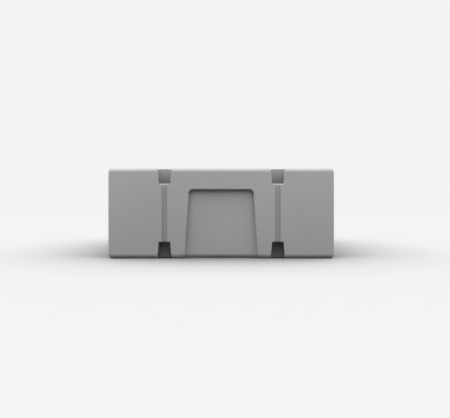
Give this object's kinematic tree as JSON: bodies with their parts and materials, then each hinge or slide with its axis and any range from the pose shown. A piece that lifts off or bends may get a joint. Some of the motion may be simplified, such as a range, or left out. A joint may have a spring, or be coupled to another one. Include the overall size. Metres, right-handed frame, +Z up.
{
  "type": "floating dock pontoon",
  "caption": "Rectangular moulded dock float with dog-bone coupler pockets top and bottom, bolt grooves, side recesses and a tread deck.",
  "frame": {"origin": "middle of the underside, on the surface that the float stands on", "axes": "+Y along the float, +X across it, +Z up through the deck; the picture shows the short side at -Y"},
  "size_m": [1, 1.5, 0.4025],
  "materials": {
    "moulded_polyethylene": "matte grey polyethylene with a fine moulded grain"
  },
  "bodies": {
    "root": {"float_moulding": "moulded_polyethylene"}
  },
  "joints": []
}
